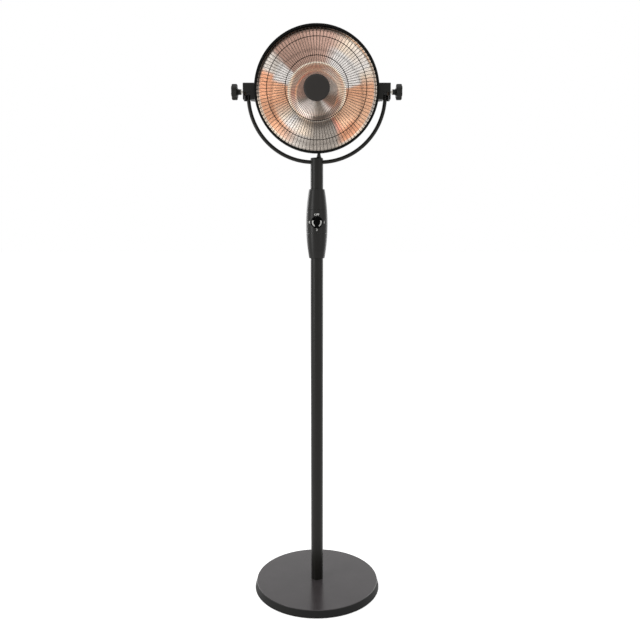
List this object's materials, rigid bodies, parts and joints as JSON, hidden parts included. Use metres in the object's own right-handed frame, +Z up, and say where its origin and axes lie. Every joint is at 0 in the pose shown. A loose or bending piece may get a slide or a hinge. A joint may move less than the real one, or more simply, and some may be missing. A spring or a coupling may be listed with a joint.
{
  "type": "infrared patio heater",
  "caption": "Free-standing electric infrared patio heater: round dish head with wire guard in a tilting yoke, on a tall pole with a rotary control and a weighted round base.",
  "frame": {"origin": "on the floor, under the middle of the base", "axes": "+Z up, -Y the way the dish faces, +X to the right seen from the front"},
  "size_m": [0.526, 0.418, 1.813],
  "materials": {
    "black_powder_coat": "satin black powder coat on steel",
    "base_powder_coat": "fine textured dark grey powder coat",
    "black_plastic": "fine textured moulded plastic",
    "gloss_black_plastic": "glossy moulded plastic",
    "rubber_black": "moulded rubber",
    "polished_aluminium": "bright polished sheet",
    "sheet_aluminium": "mill finish sheet",
    "cast_aluminium": "die cast, black enamel",
    "grille_steel": "bright nickel plated wire",
    "bright_steel": "zinc plated",
    "galvanised_steel": "galvanised",
    "brass": "turned",
    "ceramic_white": "unglazed fired",
    "resistance_wire": "oxidised heating alloy",
    "concrete": "cast concrete",
    "friction_material": "pressed fibre",
    "white_plastic": "moulded"
  },
  "bodies": {
    "stand": {"base_cover": "base_powder_coat", "base_weight": "concrete", "base_under_plate": "galvanised_steel", "under_plate_screws": "bright_steel", "base_feet": "rubber_black", "base_bolt": "bright_steel", "pole_socket": "galvanised_steel", "lower_tube": "black_powder_coat", "upper_tube": "black_powder_coat", "tube_coupler": "galvanised_steel", "pole_screws": "bright_steel", "yoke": "black_powder_coat", "pole_cap": "black_plastic", "cable_boot": "rubber_black", "upper_lead": "rubber_black", "mains_gland": "rubber_black", "housing_upper_sleeve": "black_plastic", "housing_lower_sleeve": "black_plastic", "control_band_front": "black_plastic", "control_band_rear": "black_plastic", "band_screws": "bright_steel", "rotary_switch": "white_plastic", "switch_nut": "bright_steel", "terminal_block": "white_plastic", "tilt_sensor": "white_plastic"},
    "dial": {"dial_knob": "gloss_black_plastic", "dial_shaft": "bright_steel"},
    "head": {"reflector": "polished_aluminium", "rear_shell": "black_powder_coat", "rim_band": "black_powder_coat", "rim_seal": "rubber_black", "rim_screws": "bright_steel", "grille_wires": "grille_steel", "hub_cap": "black_powder_coat", "hub_plate": "sheet_aluminium", "hub_screw": "bright_steel", "element_core": "ceramic_white", "element_coil": "resistance_wire", "element_base": "ceramic_white", "element_leads": "white_plastic", "heat_shield": "sheet_aluminium", "junction_cover": "black_plastic", "junction_screws": "bright_steel", "junction_gland": "rubber_black", "terminal_strip": "white_plastic", "head_lead": "rubber_black", "side_bracket_left": "cast_aluminium", "side_bracket_right": "cast_aluminium", "pivot_block_left": "black_plastic", "pivot_block_right": "black_plastic", "thread_inserts": "brass", "friction_discs": "friction_material", "bracket_screws": "bright_steel", "bracket_rivets": "sheet_aluminium"},
    "washer_left": {"knob_washer_left": "bright_steel"},
    "knob_left": {"knob_grip_left": "black_plastic", "knob_stud_left": "bright_steel"},
    "washer_right": {"knob_washer_right": "bright_steel"},
    "knob_right": {"knob_grip_right": "black_plastic", "knob_stud_right": "bright_steel"}
  },
  "joints": [
    {"name": "head_tilt", "type": "hinge", "parent": "stand", "child": "head", "pos_m": [0, 0, 1.623], "axis": [-1, 0, 0], "range_deg": [-10, 30], "deforming": ["head_lead"]},
    {"name": "dial_turn", "type": "hinge", "parent": "stand", "child": "dial", "pos_m": [0, -0.0351, 1.224], "axis": [0, 1, 0], "range_deg": [0, 270]},
    {"name": "knob_left_travel", "type": "slide", "parent": "head", "child": "washer_left", "axis": [-1, 0, 0], "range_m": [-0.005, 0.00125]},
    {"name": "knob_left_turn", "type": "hinge", "parent": "washer_left", "child": "knob_left", "pos_m": [-0.24, 0, 1.623], "axis": [-1, 0, 0], "range_deg": [-1442, 362]},
    {"name": "knob_right_travel", "type": "slide", "parent": "head", "child": "washer_right", "axis": [1, 0, 0], "range_m": [-0.005, 0.00125]},
    {"name": "knob_right_turn", "type": "hinge", "parent": "washer_right", "child": "knob_right", "pos_m": [0.24, 0, 1.623], "axis": [1, 0, 0], "range_deg": [-1442, 362]}
  ],
  "couplings": [
    {"joint": "knob_left_turn", "follows": "knob_left_travel", "rad_per_m": 5026.5},
    {"joint": "knob_right_turn", "follows": "knob_right_travel", "rad_per_m": 5026.5}
  ]
}
